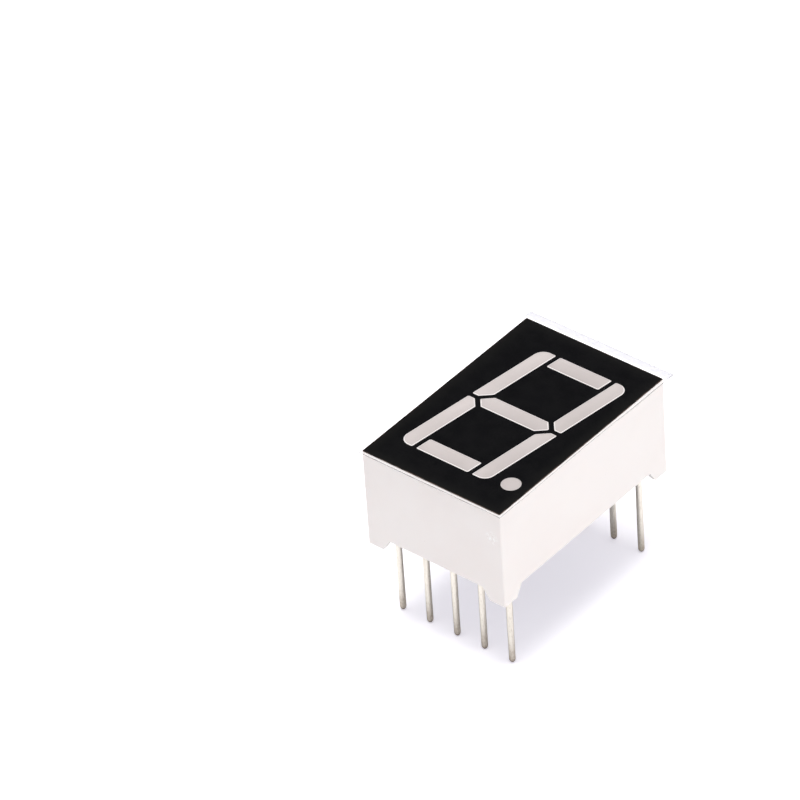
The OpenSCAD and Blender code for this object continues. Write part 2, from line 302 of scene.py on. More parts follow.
@dataclass(frozen=True)
class HousingPlastic(Finish):
    """White moulded plastic with a satin spark-eroded skin."""

    name: str = "housing_plastic"
    pale: Colour = (0.877, 0.833, 0.817)
    warm: Colour = (0.864, 0.811, 0.793)
    speck: Colour = (0.52, 0.49, 0.47)
    chalk: Colour = (0.985, 0.980, 0.975)
    smeared: Colour = (0.48, 0.44, 0.43)
    scuff_at: tuple[float, float, float] = (5.45, -9.5, 6.0)
    scuff_reach: float = 0.75
    dot_at: tuple[float, float, float] = (0.0, 0.0, 0.0)
    dot_reach: float = 1.0
    field_half: float = 0.0
    rim_z: float = 0.0

    def flecks(self, graph: Graph, per_mm: float, least: float) -> Signal:
        """Small flecks round the scuff's middle, 1 in a fleck and 0 between them."""
        near = self.away(graph, self.scuff_at).step(self.scuff_reach, 0.2)
        crumbs = graph.noise(per_mm, detail=5.0, roughness=0.75)
        return near * crumbs.step(least, least + 0.08)

    def away(self, graph: Graph, place: tuple[float, float, float]) -> Signal:
        """The distance from a place, in millimetres."""
        inputs = {0: graph.place(), 1: place}
        return graph.node("VectorMath", inputs, {"operation": "DISTANCE"}, "Value")

    def smear(self, graph: Graph) -> Signal:
        """How much epoxy lies on the rims of the wells: some, and a full skin round the dot."""
        top = graph.along("Z").step(self.rim_z - 0.06, self.rim_z - 0.03)
        inner = abs(graph.along("X")).step(self.field_half, self.field_half - 0.1)
        dot = self.away(graph, self.dot_at).step(self.dot_reach, self.dot_reach - 0.1)
        return top * inner * (0.3 + 0.7 * dot)

    def shade(self, graph: Graph) -> Signal:
        """Slow mottling, rare specks, one small scuff, a fine grain and faint sink marks."""
        flow = graph.noise(0.21, detail=3.0)
        grain = graph.noise(13.0, detail=4.0, roughness=0.65)
        tone = graph.blend(flow.step(0.35, 0.68), self.pale, self.warm)
        tone = graph.blend(self.smear(graph), tone, self.smeared)
        tone = graph.blend(self.flecks(graph, 5.3, 0.505), tone, self.chalk)
        rare = graph.specks(1.1, 0.05) * graph.noise(0.9).step(0.52, 0.62)
        scuff = self.flecks(graph, 6.1, 0.565)
        sunk = graph.bump(graph.noise(0.27, detail=1.0), 0.05)
        return graph.principled({
            "Base Color": graph.blend((rare * 0.6).at_least(scuff * 0.5), tone, self.speck),
            "Roughness": 0.38 + 0.16 * grain,
            "Normal": graph.bump(grain, 0.004, sunk),
            "Subsurface Weight": 0.12,
            "Subsurface Radius": (1.0, 0.8, 0.7),
            "Subsurface Scale": 0.35 * MM,
        })


@dataclass(frozen=True)
class FaceInk(Finish):
    """Matt black ink, screen printed, which is thin and brown along its outline."""

    name: str = "face_ink"
    deep: Colour = (0.0027, 0.0027, 0.0034)
    worn: Colour = (0.0055, 0.0055, 0.0060)
    faded: Colour = (0.0075, 0.0074, 0.0074)
    thin: Colour = (0.115, 0.085, 0.070)
    half_width: float = 0.0
    half_length: float = 0.0

    def shade(self, graph: Graph) -> Signal:
        """A near black with the fine grain of the screen, and a patchy brown rim."""
        mesh = graph.noise(6.0, detail=2.0, roughness=0.6)
        past = graph.past(self.half_width, self.half_length)
        rim = past.step(-0.10, -0.02)
        patchy = graph.noise(1.2, detail=4.0, roughness=0.6).step(0.34, 0.62)
        share = 0.5 * mesh.step(0.35, 0.65) + 0.5 * graph.noise(0.8).step(0.35, 0.65)
        tone = graph.blend(share, self.deep, self.worn)
        tone = graph.blend(past.step(-1.2, 0.1), tone, self.faded)
        return graph.principled({
            "Base Color": graph.blend(rim * patchy, tone, self.thin),
            "Roughness": 0.66 + 0.06 * mesh,
            "Specular IOR Level": 0.015,
            "Normal": graph.bump(mesh, 0.0008),
        })


@dataclass(frozen=True)
class FilmSheet(Finish):
    """Clear film over the face, whitish where it stands past the housing: partly its own haze and
    partly painted sheen.
    """

    name: str = "film_sheet"
    clear: Colour = (0.86, 0.85, 0.84)
    # the second tone is partly haze and partly painted sheen; the cut edge's dark tone is partly
    # painted shadow
    hazy_sheen: Colour = (0.65, 0.65, 0.70)
    cut: Colour = (0.060, 0.052, 0.048)
    half_width: float = 0.0
    half_length: float = 0.0

    def shade(self, graph: Graph) -> Signal:
        """Alpha rises past the housing's outline and is full on the cut edge. The whitish and
        lavender grey tones there are partly haze and partly painted sheen, and the dark cut edge is
        partly painted shadow.
        """
        edge = graph.node("Attribute", {}, {"attribute_name": FilmPiece.EDGE}, "Fac")
        past = graph.past(self.half_width, self.half_length)
        ragged = graph.noise((0.7, 0.7, 0.7), detail=4.0, roughness=0.7).step(0.38, 0.62)
        # painted sheen, in part: whitish past the outline, lavender grey further out and all along
        # the far side
        milky_sheen = past.step(0.0, 0.1)
        far = (graph.along("Y") - self.half_length).step(0.05, 0.16)
        loose = past.step(0.20, 0.31).at_least(far)
        # painted shadow, in part: the dark cut edge, lighter on the far side
        line = edge * (0.17 + 0.4 * ragged) * (1.0 - 0.45 * far)
        smear = graph.noise(0.8, detail=3.0)
        return graph.principled({
            "Base Color": graph.blend(edge, graph.blend(loose, self.clear, self.hazy_sheen), self.cut),
            "Roughness": 0.12 + 0.1 * smear,
            "Alpha": 0.14 * milky_sheen + 0.42 * loose + line,
            "Normal": graph.bump(smear, 0.01),
        })


@dataclass(frozen=True)
class MilkyEpoxy(Finish):
    """Grey diffusing epoxy in the light wells, with painted light that makes it paler towards one
    end, to one side and on the left of the display.
    """

    name: str = "milky_epoxy"
    pale: Colour = (0.434, 0.395, 0.386)
    deep: Colour = (0.396, 0.359, 0.350)
    lit: Colour = (0.550, 0.502, 0.492)
    upright: bool = False
    middle: tuple[float, float] = (0.0, 0.0)
    half_length: float = 1.0
    end_light_share: float = 0.0
    side_light_share: float = 0.0
    left_light_share: float = 0.3
    even_share: float = 0.0

    def glow(self, graph: Graph) -> Signal:
        """How much painted light the bar takes: towards its ends, to its upper or left side, and on
        the left.
        """
        y = graph.along("Y") - self.middle[1]
        x = graph.along("X") - self.middle[0] - y * LEAN
        along, across = (y, x * -1.0) if self.upright else (x * -1.0, y)
        along = along * (1 / self.half_length)
        ends = along.step(-0.2, 1.0).at_least(along.step(-0.3, -1.1) * 0.55)
        side = across.step(-0.9, 0.9)
        left = graph.along("X").step(1.0, -4.0) * self.left_light_share
        return ends * self.end_light_share + side * self.side_light_share + left + self.even_share

    def shade(self, graph: Graph) -> Signal:
        """Fine particles in a slowly varying tone, under a smooth skin."""
        cloud = graph.noise(0.32, detail=2.0)
        grain = graph.noise(15.0, detail=3.0, roughness=0.7)
        tone = graph.blend(cloud.step(0.3, 0.7), self.pale, self.deep)
        # painted light: the bar is blended towards the pale lit tone at its lit end, side and on
        # the left
        tone = graph.blend(self.glow(graph), tone, self.lit)
        particles = (grain - 0.5) * 0.5 + 0.5
        return graph.principled({
            "Base Color": graph.blend(particles.step(0.3, 0.75) * 0.5, tone, self.deep),
            "Roughness": 0.34 + 0.1 * grain,
            "Specular IOR Level": 0.35,
            "Normal": graph.bump(graph.noise(1.3, detail=2.0), 0.01),
            "Subsurface Weight": 0.2,
            "Subsurface Radius": (1.0, 0.9, 0.85),
            "Subsurface Scale": 0.25 * MM,
        })


@dataclass(frozen=True)
class SolderMask(Finish):
    """Dark blue lacquer over the board's laminate."""

    name: str = "solder_mask"
    deep: Colour = (0.0075, 0.0115, 0.026)
    pale: Colour = (0.014, 0.019, 0.037)
    weave_per_mm: float = 2.4

    def shade(self, graph: Graph) -> Signal:
        """Glass weave that shows faintly through the lacquer."""
        warp, weft = (
            graph.node(
                "TexWave",
                {"Vector": graph.place((self.weave_per_mm,) * 3), "Scale": 0.32, "Distortion": 0.6},
                {"bands_direction": axis},
                output=1,
            )
            for axis in ("X", "Y")
        )
        weave = warp * weft
        cloud = graph.noise(0.35, detail=3.0)
        return graph.principled({
            "Base Color": graph.blend(cloud * 0.7 + weave * 0.3, self.deep, self.pale),
            "Roughness": 0.3 + 0.1 * cloud,
            "Specular IOR Level": 0.1,
            "Normal": graph.bump(weave, 0.006),
        })


@dataclass(frozen=True)
class Patchy(Finish):
    """A finish whose two tones change in soft patches."""

    first: Colour = (0.5, 0.5, 0.5)
    second: Colour = (0.5, 0.5, 0.5)
    per_mm: float = 1.0
    detail: float = 2.0
    limits: tuple[float, float] | None = (0.35, 0.65)
    rough: tuple[float, float] = (0.2, 0.15)
    metallic: float = 1.0
    specular: float = 0.5
    relief: float = 0.0
    frost_per_mm: float | None = None

    def shade(self, graph: Graph) -> Signal:
        """Patches in tone and gloss, with a relief of the patches or of a finer frost."""
        patch = graph.noise(self.per_mm, detail=self.detail)
        frost = graph.noise(self.frost_per_mm, detail=2.0) if self.frost_per_mm else patch
        share = patch.step(*self.limits) if self.limits else patch
        inputs = {
            "Base Color": graph.blend(share, self.first, self.second),
            "Roughness": self.rough[0] + self.rough[1] * patch,
            "Metallic": self.metallic,
            "Specular IOR Level": self.specular,
        }
        if self.relief:
            inputs["Normal"] = graph.bump(frost, self.relief)
        return graph.principled(inputs)


COATED_COPPER = Patchy(
    "coated_copper", (0.018, 0.020, 0.034), (0.050, 0.036, 0.030), per_mm=0.9, detail=3.0,
    rough=(0.3, 0.15), metallic=0.25, specular=0.1, relief=0.006,
)
SOLDER = Patchy(
    "solder_skin", (0.56, 0.55, 0.53), (0.36, 0.35, 0.34), per_mm=2.2, detail=3.0,
    rough=(0.24, 0.2), relief=0.004, frost_per_mm=20.0,
)
GOLD_WIRE = Patchy("gold_wire", (0.83, 0.60, 0.24), (0.62, 0.42, 0.16), per_mm=6.0, limits=None)
CHIP_CRYSTAL = Patchy(
    "chip_crystal", (0.42, 0.24, 0.06), (0.16, 0.09, 0.03), per_mm=8.0,
    limits=(0.3, 0.7), rough=(0.15, 0.1), metallic=0.0,
)


@dataclass(frozen=True)
class PinTin(Finish):
    """Tin on a drawn wire, with a painted brown shade that darkens it towards the cut tip, where
    the brown base metal shows.
    """

    name: str = "pin_tin"
    bright: Colour = (0.885, 0.838, 0.765)
    dull: Colour = (0.59, 0.545, 0.475)
    # tone of the painted shade over the lowest part of the pin
    painted_shade: Colour = (0.42, 0.325, 0.250)
    base: Colour = (0.125, 0.086, 0.062)
    tip_z: float = 0.0
    worn: float = 0.34
    shade_height: float = 2.4

    def shade(self, graph: Graph) -> Signal:
        """Streaks along the wire, dull mottles, a painted brown shade fading upwards, and a dark
        tip.
        """
        streak = graph.noise((6.0, 6.0, 0.5), detail=4.0, roughness=0.65)
        patch = graph.noise((0.9, 0.9, 0.5), detail=3.0)
        mottle = graph.noise((7.0, 7.0, 3.5), detail=3.0, roughness=0.7)
        above = graph.along("Z") - self.tip_z + (patch - 0.5) * 0.3
        tin = graph.blend(
            streak.step(0.35, 0.75) * 0.45 + mottle.step(0.52, 0.68) * 0.35, self.bright, self.dull
        )
        # painted shade: darker and browner over the lowest part of the pin, fading upwards
        shaded = above.step(self.shade_height, 0.2) * (0.35 + 0.3 * mottle.step(0.4, 0.62))
        tip = above.step(self.worn, 0.04)
        return graph.principled({
            "Base Color": graph.blend(tip, graph.blend(shaded, tin, self.painted_shade), self.base),
            "Metallic": 1.0 - 0.35 * tip,
            "Roughness": 0.22 + 0.12 * patch + 0.1 * mottle + 0.2 * tip,
            "Normal": graph.bump(streak, 0.006, graph.bump(mottle, 0.003)),
        })


@dataclass(frozen=True)
class ClearPotting(Finish):
    """Clear glossy epoxy: what lies behind shows through a faint tint, and its skin mirrors."""

    name: str = "clear_potting"
    tint: Colour = (0.92, 0.94, 0.97)
    body: Colour = (0.020, 0.026, 0.042)

    def shade(self, graph: Graph) -> Signal:
        """Mirrors as Fresnel says on the outside, and nothing on the inside."""
        outside = 1.0 - graph.node("NewGeometry", output="Backfacing")
        mirror = graph.node("Fresnel", {"IOR": 1.5})
        ripple = graph.noise(0.5, detail=2.0)
        skin = graph.principled({
            "Base Color": graph.blend(ripple, self.body, (0.035, 0.042, 0.06)),
            "Roughness": 0.03 + 0.03 * ripple,
            "Specular IOR Level": 1.0,
            "Normal": graph.bump(ripple, 0.012),
        })
        clear = graph.node("BsdfTransparent", {"Color": (*self.tint, 1.0)})
        share = (mirror * 2.2 + 0.06) * outside
        return graph.node("MixShader", {0: share, 1: clear, 2: skin})


# ---- surfaces


def grid_faces(rows: int, columns: int, wrap_rows: bool, wrap_columns: bool) -> Array:
    """The four corners of each face of a grid, whose points are numbered row by row.

    Args:
        rows: Number of rows of points.
        columns: Number of points in a row.
        wrap_rows: Whether the last row joins the first.
        wrap_columns: Whether the last point of a row joins its first.

    Returns:
        An array with four point numbers for each face.
    """
    row = np.arange(rows if wrap_rows else rows - 1)[:, None]
    column = np.arange(columns if wrap_columns else columns - 1)[None, :]
    row_on, column_on = (row + 1) % rows, (column + 1) % columns
    pairs = ((row, column), (row, column_on), (row_on, column_on), (row_on, column))
    corners = np.broadcast_arrays(*(r * columns + c for r, c in pairs))
    return np.stack(corners, axis=-1).reshape(-1, 4)


def mesh_of(
    name: str, points: Array, faces: Sequence[Sequence[int]], sharp_angle: float | None = None
) -> bpy.types.Mesh:
    """Writes a smooth mesh.

    Args:
        name: Name of the mesh.
        points: Its points in millimetres.
        faces: The point numbers of each face, counter-clockwise from outside.
        sharp_angle: Edges that turn by more degrees than this are sharp.

    Returns:
        The mesh, in metres.
    """
    mesh = bpy.data.meshes.new(name)
    mesh.from_pydata((points.reshape(-1, 3) * MM).tolist(), [], [list(f) for f in faces])
    mesh.validate()
    mesh.shade_smooth()
    if sharp_angle is not None:
        mesh.set_sharp_from_angle(angle=math.radians(sharp_angle))
    return mesh


def closed_sheet(
    name: str, top: Array, bottom: Array, sharp_angle: float
) -> tuple[bpy.types.Mesh, int]:
    """Joins two grids of points round their edges.

    Args:
        name: Name of the mesh.
        top: Grid of points of the upper face.
        bottom: Grid of points of the lower face.
        sharp_angle: As in mesh_of.

    Returns:
        The closed mesh, and how many faces its rim has, which are the last ones.
    """
    rows, columns = top.shape[:2]
    count = rows * columns
    faces = grid_faces(rows, columns, False, False)
    number = np.arange(count).reshape(rows, columns)
    ring = np.concatenate([number[0, :-1], number[:-1, -1], number[-1, :0:-1], number[:0:-1, 0]])
    step = np.roll(ring, -1)
    rim = np.stack([ring + count, step + count, step, ring], axis=-1)
    points = np.concatenate([top.reshape(-1, 3), bottom.reshape(-1, 3)])
    faces = np.concatenate([faces, faces[:, ::-1] + count, rim])
    return mesh_of(name, points, faces, sharp_angle), len(rim)


def turned(
    centre: Array, radius: Array, height: Array, columns: int
) -> Array:
    """Turns a profile about an upright axis.

    A point is the centre plus radius times (cos, sin) of its angle, at its height.

    Args:
        centre: The axis, as x and y.
        radius: Radius of each point, as a column or a whole grid.
        height: Height of each row of points.
        columns: Number of points in a row.

    Returns:
        A grid of points, a row for each height.
    """
    angle = around(columns)
    radius = np.broadcast_to(radius, (len(height), columns))
    x = centre[0] + radius * np.cos(angle)
    y = centre[1] + radius * np.sin(angle)
    z = np.broadcast_to(height[:, None], x.shape)
    return np.stack([x, y, z], axis=-1)


def around(columns: int) -> Array:
    """A row of even angles, once round."""
    return np.linspace(0.0, 2 * np.pi, columns, endpoint=False)[None, :]


def put(name: str, data: bpy.types.ID) -> bpy.types.Object:
    """Adds an object to the scene."""
    made = bpy.data.objects.new(name, data)
    bpy.context.scene.collection.objects.link(made)
    return made


def add_piece(
    name: str, mesh: bpy.types.Mesh, finish: Finish, stands_for: Sequence[str]
) -> bpy.types.Object:
    """Puts a mesh into the scene in the place of solids of the part.

    Args:
        name: Name of the piece.
        mesh: Its mesh, in place.
        finish: Its finish.
        stands_for: The solids that it replaces.

    Returns:
        The new object.
    """
    piece = put(name, mesh)
    mesh.materials.clear()
    mesh.materials.append(finish.material())
    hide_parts(*stands_for)
    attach(piece, "root")
    LOG.info("%s: %d faces, for %s", name, len(mesh.polygons), ", ".join(stands_for))
    return piece


def dress_node(node: str, finish: Finish) -> bpy.types.Object:
    """Gives a solid of the part a finish and leaves its shape alone."""
    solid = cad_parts[node]
    for place in solid.material_slots:
        place.material = finish.material()
    LOG.info("%s: kept, in %s", node, finish.name)
    return solid


def read(
    items: bpy.types.bpy_prop_collection, key: str, width: int = 1, kind: type = np.float32
) -> Array:
    """Reads a property of every item, as an array with width numbers in each row."""
    values = np.empty(len(items) * width, kind)
    items.foreach_get(key, values)
    return values.reshape(-1, width) if width > 1 else values


def box_of(node: str) -> tuple[Array, Array]:
    """The lowest and highest corner of a solid of the part, in millimetres."""
    low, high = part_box(node)
    return np.array(low) / MM, np.array(high) / MM


# ---- housing


@dataclass
class Housing:
    """The white moulding, with its outer edges slightly rounded."""

    edge_radius: float = 0.035
    top_share: float = 0.6
    sharp_angle: float = 40.0
    crease_angle: float = 30.0
    flat_angle: float = 0.4
    weld: float = 0.0002
    skin: float = 0.3
    dot_margin: float = 0.3

    def finish(self) -> Finish:
        """The white plastic, told where the rims in the windows and the dot are."""
        low, high = box_of("decimal_dot")
        middle = (low + high) / 2
        rim_z = box_of("reflector_housing")[1][2]
        return HousingPlastic(
            dot_at=(middle[0], middle[1], rim_z),
            field_half=high[0] + self.dot_margin,
            rim_z=rim_z,
        )

    def merged(self) -> bpy.types.Mesh:
        """A copy of the solid's mesh with shared points and whole flat faces."""
        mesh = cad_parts["reflector_housing"].data.copy()
        mesh.name = "housing_moulding"
        work = bmesh.new()
        work.from_mesh(mesh)
        bmesh.ops.remove_doubles(work, verts=work.verts, dist=self.weld * MM)
        flat = math.radians(self.flat_angle)
        bmesh.ops.dissolve_limit(work, angle_limit=flat, verts=work.verts, edges=work.edges)
        work.to_mesh(mesh)
        work.free()
        return mesh

    def edge_weights(self, mesh: bpy.types.Mesh) -> Array:
        """How much each edge is rounded: the outer top edge a little, and the rim and feet fully.

        An edge counts as sharp where the cosine between its two faces' normals is under that of
        sharp_angle.

        Args:
            mesh: The merged mesh.

        Returns:
            A weight from 0 to 1 for each edge.
        """
        points = read(mesh.vertices, "co", 3) / MM
        ends = points[read(mesh.edges, "vertices", 2, np.int32)]
        loop_edge = read(mesh.loops, "edge_index", kind=np.int32)
        sides = read(mesh.polygons, "loop_total", kind=np.int32)
        loop_normal = np.repeat(read(mesh.polygons, "normal", 3), sides, axis=0)
        order = np.argsort(loop_edge, kind="stable")
        used = np.bincount(loop_edge, minlength=len(mesh.edges))
        first = np.concatenate([[0], np.cumsum(used)[:-1]])
        paired = used == 2
        cosine = np.ones(len(mesh.edges))
        a = loop_normal[order[first[paired]]]
        b = loop_normal[order[first[paired] + 1]]
        cosine[paired] = (a * b).sum(1)
        sharp = cosine < math.cos(math.radians(self.sharp_angle))

        low, high = box_of("reflector_housing")
        board_rear = box_of("circuit_board")[0][2]
        outer = (np.abs(ends[..., :2]) > high[:2] - self.skin).any(-1).all(-1)
        top = (ends[..., 2] > high[2] - 0.01).all(-1) & outer
        on_wall = (np.abs(ends[..., :2]) > high[:2] - 0.002).any(-1).all(-1)
        rim = (ends[..., 2] < board_rear - 0.1).all(-1)
        return sharp * np.where(rim, 1.0, np.where(top & on_wall, self.top_share, 0.0))

    def build(self) -> Pieces:
        """Makes the moulding and rounds its edges."""
        mesh = self.merged()
        weights = self.edge_weights(mesh).astype(np.float32)
        layer = mesh.attributes.new("bevel_weight_edge", "FLOAT", "EDGE")
        layer.data.foreach_set("value", weights)
        mesh.shade_smooth()
        mesh.set_sharp_from_angle(angle=math.radians(self.crease_angle))
        piece = add_piece(
            "housing_moulding", mesh, self.finish(), ["reflector_housing"]
        )
        bevel = piece.modifiers.new("rounded_edges", "BEVEL")
        bevel.limit_method = "WEIGHT"
        bevel.width = self.edge_radius * MM
        bevel.segments = 3
        bevel.harden_normals = True
        return [piece]


# ---- face and film


@dataclass
class FilmPiece:
    """The protective film: a thin sheet that droops a little where it stands past the housing."""

    EDGE = "cut_edge"

    columns: int = 121
    rows: int = 181
    droop: float = 0.03
    ripple: float = 0.012
    wander: float = 0.03
    waist: float = 0.12
    lift: float = 0.006
    crowding: float = 1.7
    sharp_angle: float = 40.0

    def crowded(self, count: int) -> Array:
        """Places from 0 to 1 that lie closer together at both ends."""
        spread = np.linspace(-1.0, 1.0, count)
        return 0.5 + 0.5 * np.sign(spread) * (1 - (1 - np.abs(spread)) ** self.crowding)

    def outline(self) -> Array:
        """The film's four corners, from lower left round to upper left."""
        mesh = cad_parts["protective_film"].data
        points = read(mesh.vertices, "co", 3).astype(float)[:, :2] / MM
        picks = [(points @ np.array(way)).argmax() for way in ((-1, -1), (1, -1), (1, 1), (-1, 1))]
        return points[picks]

    def build(self) -> Pieces:
        """Makes the film as one closed sheet.

        A point (u, v) of the unit square goes to the bilinear mix of the four corners. The cut
        edges wander inwards by a sum of two sines, and the right one by up to waist more away from
        its upper corner. Past the housing's outline the sheet drops by droop times the square of
        the distance over half a millimetre. Its lower face stays lift above the ink, so that no
        two faces share a plane.
        """
        low, high = box_of("protective_film")
        body_high = box_of("reflector_housing")[1]
        a, b, c, d = self.outline()
        u, v = np.meshgrid(self.crowded(self.columns), self.crowded(self.rows))
        inward = self.wander * (0.5 + 0.25 * np.sin(9.0 * u + 1.0) + 0.25 * np.sin(23.0 * u))
        inward_side = self.wander * (0.5 + 0.25 * np.sin(11.0 * v + 2.0) + 0.25 * np.sin(31.0 * v))
        width, length = np.linalg.norm(b - a), np.linalg.norm(d - a)
        inward_side = inward_side + self.waist * (u > 0.5) * np.clip(2.2 * (1 - v), 0.0, 1.0) ** 2
        u = 0.5 + (u - 0.5) * (1 - 2 * inward_side / width)
        v = 0.5 + (v - 0.5) * (1 - 2 * inward / length)
        u, v = u[..., None], v[..., None]
        flat = (1 - v) * ((1 - u) * a + u * b) + v * ((1 - u) * d + u * c)
        past = np.maximum(np.abs(flat) - body_high[:2], 0.0)
        reach = np.hypot(past[..., 0], past[..., 1])
        wave = self.ripple * (1 + np.sin(1.3 * flat[..., 0] + 0.9 * flat[..., 1])) / 2
        drop = self.droop * (reach / 0.5) ** 2 + wave * (reach > 0) * np.minimum(reach / 0.2, 1.0)
        thick = high[2] - low[2] - self.lift
        top = np.dstack([flat, high[2] - drop])
        bottom = np.dstack([flat, high[2] - thick - drop])
        finish = FilmSheet(half_width=body_high[0], half_length=body_high[1])
        mesh, rim = closed_sheet("film_sheet", top, bottom, self.sharp_angle)
        is_rim = np.zeros(len(mesh.polygons), np.float32)
        is_rim[-rim:] = 1.0
        edge = mesh.attributes.new(self.EDGE, "FLOAT", "FACE")
        edge.data.foreach_set("value", is_rim)
        return [add_piece("film_sheet", mesh, finish, ["protective_film"])]


@dataclass
class Face:
    """The black ink round the windows, the bars of light behind them, and the film on top."""

    # shares of the painted light on the bars, and how much paler the decimal point is
    upright_light_share: float = 0.45
    level_light_share: float = 0.15
    side_light_share: float = 0.6
    dot_share: float = 0.28

    def epoxy(self, bar: str) -> Finish:
        """The finish of a bar, with painted light that makes it palest at its upper or left end."""
        low, high = box_of(f"light_bar_{bar}")
        middle, half = (high + low) / 2, (high - low) / 2
        upright = half[1] > half[0]
        return MilkyEpoxy(
            name=f"milky_epoxy_{bar}",
            upright=upright,
            middle=(middle[0], middle[1]),
            half_length=half[:2].max(),
            end_light_share=self.upright_light_share if upright else self.level_light_share,
            side_light_share=self.side_light_share,
        )

    def build(self) -> Pieces:
        """Dresses the mask, the seven bars and the decimal point, and lays the film on them."""
        high = box_of("face_mask")[1]
        ink = FaceInk(half_width=high[0], half_length=high[1])
        pieces = [dress_node("face_mask", ink)]
        pieces += [dress_node(f"light_bar_{bar}", self.epoxy(bar)) for bar in BARS]
        pieces.append(dress_node("decimal_dot", MilkyEpoxy(even_share=self.dot_share)))
        return pieces + FilmPiece().build()


# ---- board


@dataclass
class Board:
    """The circuit board with its copper, chips, bond wires and solder."""

    solder_height: float = 0.35
    solder_tip: float = 0.05
    solder_hollow: float = 0.07
    rows: int = 18
    columns: int = 36
    inset: float = 0.01
    sharp_angle: float = 50.0

    def solder(self) -> bpy.types.Object:
        """Makes the ten solder fillets.

        Each is a ring: its outside runs from the pad to the pin as a hollow curve, a straight line
        less a sine arch, and its inside lies just under the pin's own surface.
        """
        low, high = box_of("solder_fillets")
        t = np.linspace(0.0, 1.0, self.rows)
        hollow = self.solder_hollow * np.sin(np.pi * t)
        points, faces = [], []
        for number in PINS:
            centre, pin = Pins.axis_of(number)
            pad = high[0] - box_of("pin_5")[1][0] + pin
            outside = pad + (pin + self.solder_tip - pad) * t - hollow
            radius = np.concatenate([outside, np.full(self.rows, pin - self.inset)])
            rise = high[2] + (low[2] - high[2]) * t
            height = np.concatenate([rise, rise[::-1]])
            ring = turned(centre, radius[:, None], height, self.columns)
            start = sum(len(done) for done in points)
            points.append(ring.reshape(-1, 3))
            faces.append(grid_faces(*ring.shape[:2], True, True)[:, ::-1] + start)
        points, faces = np.concatenate(points), np.concatenate(faces)
        mesh = mesh_of("solder_cones", points, faces, self.sharp_angle)
        return add_piece("solder_cones", mesh, SOLDER, ["solder_fillets"])

    def build(self) -> Pieces:
        """Dresses the board and what is on it."""
        pieces = [dress_node("circuit_board", SolderMask())]
        pieces += [dress_node(node, COATED_COPPER) for node in ("front_tracks", "rear_tracks")]
        for bar in (*BARS, "dot"):
            pieces.append(dress_node(f"led_chip_{bar}", CHIP_CRYSTAL))
            pieces.append(dress_node(f"bond_wire_{bar}", GOLD_WIRE))
        return pieces + [self.solder()]


@dataclass
class Pins:
    """The ten round pins: drawn wire with a slightly uneven tin and a bullet tip."""

    rows: int = 90
    tip_rows: int = 14
    tip_power: float = 1.9
    tip_length: float = 1.35
    flat: float = 0.2
    uneven: float = 0.02
    root_from: float = 0.92
    root_thinning: float = 0.04
    columns: int = 32
    sharp_angle: float = 60.0

    @staticmethod
    def axis_of(number: int) -> tuple[Array, float]:
        """The axis of a pin as x and y, and its radius."""
        low, high = box_of(f"pin_{number}")
        return (low[:2] + high[:2]) / 2, (high[0] - low[0]) / 2

    def pin(self, number: int, finish: Finish) -> bpy.types.Object:
        """Makes one pin.

        The tip is a superellipse: radius times (1 - (1 - s) ** p) ** (1 / p), where s is the height
        over the tip as a share of the tip's length. The tin is thinner by a sum of slow sines in
        the angle and the height, with a phase that the pin's number shifts. The root, past the
        share root_from of the height, is thinner by up to root_thinning.

        Args:
            number: The pin's number.
            finish: The finish of the pins.

        Returns:
            The pin as a piece.
        """
        low, high = box_of(f"pin_{number}")
        centre, radius = self.axis_of(number)
        ease = np.linspace(0.0, 1.0, self.tip_rows) ** 1.8
        start = 1 - (1 - self.flat**self.tip_power) ** (1 / self.tip_power)
        tip = start + (1 - start) * ease
        length = radius * self.tip_length
        shaft = np.linspace(length, high[2] - low[2], self.rows)[1:]
        over_tip = np.concatenate([tip * length, shaft])
        s = np.minimum(over_tip / length, 1.0)
        profile = radius * (1 - (1 - s) ** self.tip_power) ** (1 / self.tip_power)
        angle, z = around(self.columns), over_tip[:, None]
        phase = 2.4 * number
        swell = (
            np.sin(1.1 * z + phase)
            + 0.6 * np.sin(2 * angle + 0.7 * z + phase)
            + 0.4 * np.sin(3 * angle - 1.9 * z + 2 * phase)
        ) / 2.0
        root = np.clip(z - (high[2] - low[2]) * self.root_from, 0.0, 1.0) * self.root_thinning
        grid_radius = profile[:, None] * (1 - self.uneven * (1 + swell) / 2 - root)
        grid = turned(centre, grid_radius, low[2] + over_tip, self.columns)
        rows, columns = grid.shape[:2]
        faces = grid_faces(rows, columns, False, True).tolist()
        faces.append(list(range(columns))[::-1])
        faces.append(list(range((rows - 1) * columns, rows * columns)))
        mesh = mesh_of(f"tinned_pin_{number}", grid, faces, self.sharp_angle)
        return add_piece(f"tinned_pin_{number}", mesh, finish, [f"pin_{number}"])

    def build(self) -> Pieces:
        """Makes all the pins."""
        tin = PinTin(tip_z=box_of("pin_1")[0][2])
        return [self.pin(number, tin) for number in PINS]


